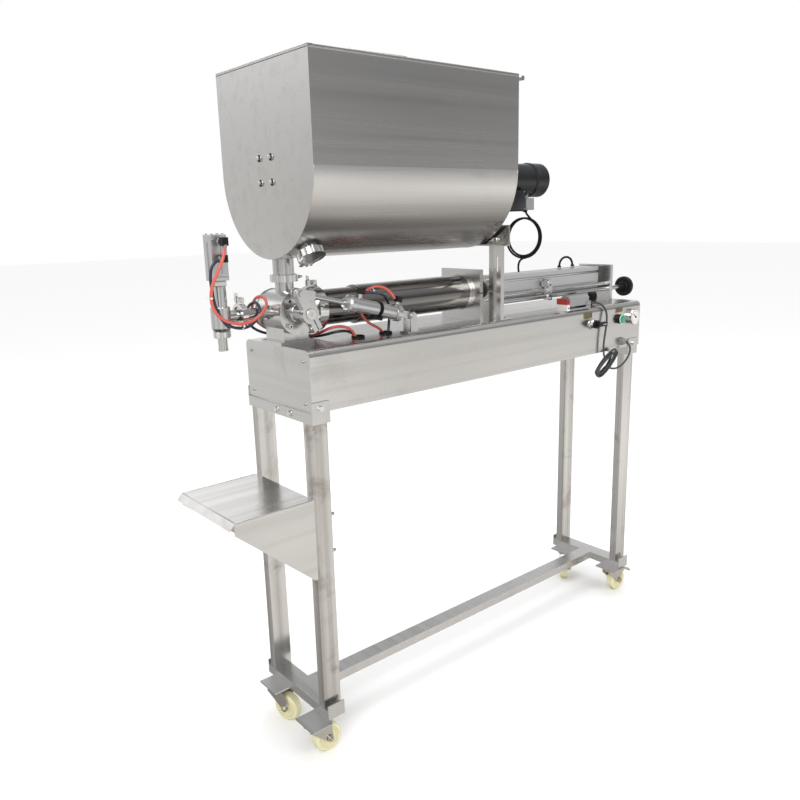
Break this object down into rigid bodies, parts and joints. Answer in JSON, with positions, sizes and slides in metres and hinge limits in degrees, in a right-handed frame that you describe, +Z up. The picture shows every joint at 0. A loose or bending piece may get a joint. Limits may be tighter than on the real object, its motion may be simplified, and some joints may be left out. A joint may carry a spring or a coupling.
{
  "type": "piston liquid filler",
  "caption": "Semi-automatic piston filler: U-shaped hopper with agitator over a beam on casters, air-driven dosing cylinder, rotary valve and nozzle.",
  "frame": {"origin": "on the floor, in the middle of the machine's length and width", "axes": "+Z up, -X towards the nozzle, +Y away from the operator's control panel"},
  "size_m": [1.5818, 0.396, 1.7213],
  "materials": {
    "brushed_stainless": "brushed",
    "machined_stainless": "machined",
    "polished_clamps": "polished",
    "aluminium_body": "anodised",
    "dark_casting": "painted casting",
    "black_paint": "semi-gloss paint",
    "black_plastic": "moulded",
    "green_plastic": "moulded",
    "grey_plastic": "moulded",
    "red_plastic": "moulded",
    "zinc_plate": "zinc plated",
    "cream_nylon": "moulded nylon",
    "red_hose": "tube",
    "blue_hose": "tube",
    "black_cable": "sheath"
  },
  "bodies": {
    "frame": {"actuator_bracket": "machined_stainless", "actuator_hose_blue": "blue_hose", "actuator_hose_red": "red_hose", "agitator_bearings": "dark_casting", "air_cylinder_barrel": "aluminium_body", "air_cylinder_caps": "dark_casting", "base_rails": "brushed_stainless", "beam_end_plates": "brushed_stainless", "beam_housing": "brushed_stainless", "bottle_tray": "brushed_stainless", "cylinder_plates": "machined_stainless", "drain_port": "machined_stainless", "foot_switch_base": "grey_plastic", "frame_bolts": "polished_clamps", "gear_motor": "black_paint", "hopper_shell": "brushed_stainless", "hopper_support": "brushed_stainless", "hose_fittings": "black_plastic", "leg_brackets": "brushed_stainless", "leg_tubes": "brushed_stainless", "motor_lead": "black_cable", "motor_lead_coil": "black_cable", "nozzle_body": "machined_stainless", "nozzle_cylinder": "aluminium_body", "nozzle_hose_blue": "blue_hose", "nozzle_hose_red": "red_hose", "nozzle_pipe": "machined_stainless", "outlet_pipe": "machined_stainless", "panel_fittings": "black_plastic", "pedal_lead": "black_cable", "pedal_lead_hank": "black_cable", "pipe_clamps": "polished_clamps", "port_hose": "black_cable", "product_cylinder": "brushed_stainless", "stretcher": "brushed_stainless", "valve_body": "machined_stainless", "valve_covers": "machined_stainless"},
    "valve": {"valve_lever": "machined_stainless"},
    "actuator_barrel": {"actuator_barrel": "aluminium_body"},
    "actuator_rod": {"actuator_rod": "machined_stainless"},
    "dosing_piston": {"piston_and_rod": "machined_stainless"},
    "nozzle_stem": {"nozzle_stem": "machined_stainless"},
    "stroke_wheel": {"handwheel": "black_plastic", "lead_screw": "machined_stainless"},
    "stroke_block": {"stroke_block": "machined_stainless"},
    "agitator": {"agitator": "brushed_stainless"},
    "lid": {"hopper_lid": "brushed_stainless"},
    "selector": {"selector_knob": "black_plastic"},
    "start_button": {"start_button": "green_plastic"},
    "foot_pedal": {"foot_switch_pedal": "red_plastic"},
    "regulator": {"regulator_knob": "black_plastic"},
    "front_near_swivel": {"front_near_fork": "zinc_plate"},
    "front_near_wheel": {"front_near_wheel": "cream_nylon"},
    "front_far_swivel": {"front_far_fork": "zinc_plate"},
    "front_far_wheel": {"front_far_wheel": "cream_nylon"},
    "rear_near_swivel": {"rear_near_fork": "zinc_plate"},
    "rear_near_wheel": {"rear_near_wheel": "cream_nylon"},
    "rear_far_swivel": {"rear_far_fork": "zinc_plate"},
    "rear_far_wheel": {"rear_far_wheel": "cream_nylon"},
    "rear_near_brake": {"rear_near_brake": "zinc_plate"}
  },
  "joints": [
    {"name": "valve_turn", "type": "hinge", "parent": "frame", "child": "valve", "pos_m": [-0.5315, 0, 1.115], "axis": [0, 1, 0], "range_deg": [0, 90]},
    {"name": "actuator_swing", "type": "hinge", "parent": "frame", "child": "actuator_barrel", "pos_m": [-0.2285, -0.099, 1.082], "axis": [0, 1, 0], "range_deg": [-1.23, 0]},
    {"name": "actuator_stroke", "type": "slide", "parent": "actuator_barrel", "child": "actuator_rod", "axis": [-0.9704, 0, 0.2416], "range_m": [-0.07836, 0]},
    {"name": "piston_stroke", "type": "slide", "parent": "frame", "child": "dosing_piston", "axis": [1, 0, 0], "range_m": [0, 0.38]},
    {"name": "nozzle_lift", "type": "slide", "parent": "frame", "child": "nozzle_stem", "axis": [0, 0, 1], "range_m": [0, 0.015]},
    {"name": "stroke_wheel_turn", "type": "hinge", "parent": "frame", "child": "stroke_wheel", "pos_m": [0.6835, -0.05, 1.078], "axis": [1, 0, 0], "range_deg": [-14400, 18000]},
    {"name": "stroke_block_travel", "type": "slide", "parent": "frame", "child": "stroke_block", "axis": [1, 0, 0], "range_m": [-0.2005, 0.2505]},
    {"name": "agitator_turn", "type": "hinge", "parent": "frame", "child": "agitator", "pos_m": [-0.2465, 0, 1.436], "axis": [1, 0, 0], "continuous": true},
    {"name": "lid_open", "type": "hinge", "parent": "frame", "child": "lid", "pos_m": [0.083, 0, 1.66], "axis": [0, 1, 0], "range_deg": [0, 100]},
    {"name": "selector_turn", "type": "hinge", "parent": "frame", "child": "selector", "pos_m": [0.4805, -0.16, 0.988], "axis": [0, -1, 0], "range_deg": [0, 60]},
    {"name": "button_press", "type": "slide", "parent": "frame", "child": "start_button", "axis": [0, 1, 0], "range_m": [0, 0.003], "stiffness_N_per_m": 500},
    {"name": "pedal_press", "type": "hinge", "parent": "frame", "child": "foot_pedal", "pos_m": [0.4605, -0.12, 1.051], "axis": [0, -1, 0], "range_deg": [0, 3], "stiffness_Nm_per_rad": 4, "springref_deg": -11.46},
    {"name": "regulator_turn", "type": "hinge", "parent": "frame", "child": "regulator", "pos_m": [0.5415, -0.096, 1.06], "axis": [0, 0, 1], "range_deg": [0, 300]},
    {"name": "front_near_swivel", "type": "hinge", "parent": "frame", "child": "front_near_swivel", "pos_m": [-0.5965, -0.121, 0.0875], "axis": [0, 0, 1], "continuous": true},
    {"name": "front_near_roll", "type": "hinge", "parent": "front_near_swivel", "child": "front_near_wheel", "pos_m": [-0.5615, -0.121, 0.0375], "axis": [0, 1, 0], "continuous": true},
    {"name": "front_far_swivel", "type": "hinge", "parent": "frame", "child": "front_far_swivel", "pos_m": [-0.5805, 0.084, 0.0875], "axis": [0, 0, 1], "continuous": true},
    {"name": "front_far_roll", "type": "hinge", "parent": "front_far_swivel", "child": "front_far_wheel", "pos_m": [-0.56853, 0.05111, 0.0375], "axis": [0.9397, 0.342, 0], "continuous": true},
    {"name": "rear_near_swivel", "type": "hinge", "parent": "frame", "child": "rear_near_swivel", "pos_m": [0.6765, -0.112, 0.0875], "axis": [0, 0, 1], "continuous": true},
    {"name": "rear_near_roll", "type": "hinge", "parent": "rear_near_swivel", "child": "rear_near_wheel", "pos_m": [0.7115, -0.112, 0.0375], "axis": [0, 1, 0], "continuous": true},
    {"name": "rear_far_swivel", "type": "hinge", "parent": "frame", "child": "rear_far_swivel", "pos_m": [0.6765, 0.09, 0.0875], "axis": [0, 0, 1], "continuous": true},
    {"name": "rear_far_roll", "type": "hinge", "parent": "rear_far_swivel", "child": "rear_far_wheel", "pos_m": [0.64855, 0.06894, 0.0375], "axis": [0.6018, -0.7986, 0], "continuous": true},
    {"name": "rear_near_brake_press", "type": "hinge", "parent": "rear_near_swivel", "child": "rear_near_brake", "pos_m": [0.7395, -0.112, 0.073], "axis": [0, 1, 0], "range_deg": [0, 8]}
  ],
  "couplings": [
    {"joint": "actuator_swing", "follows": "valve_turn", "ratio": -0.01341},
    {"joint": "actuator_stroke", "follows": "valve_turn", "m_per_rad": -0.048906},
    {"joint": "stroke_block_travel", "follows": "stroke_wheel_turn", "m_per_rad": 0.00079577}
  ]
}
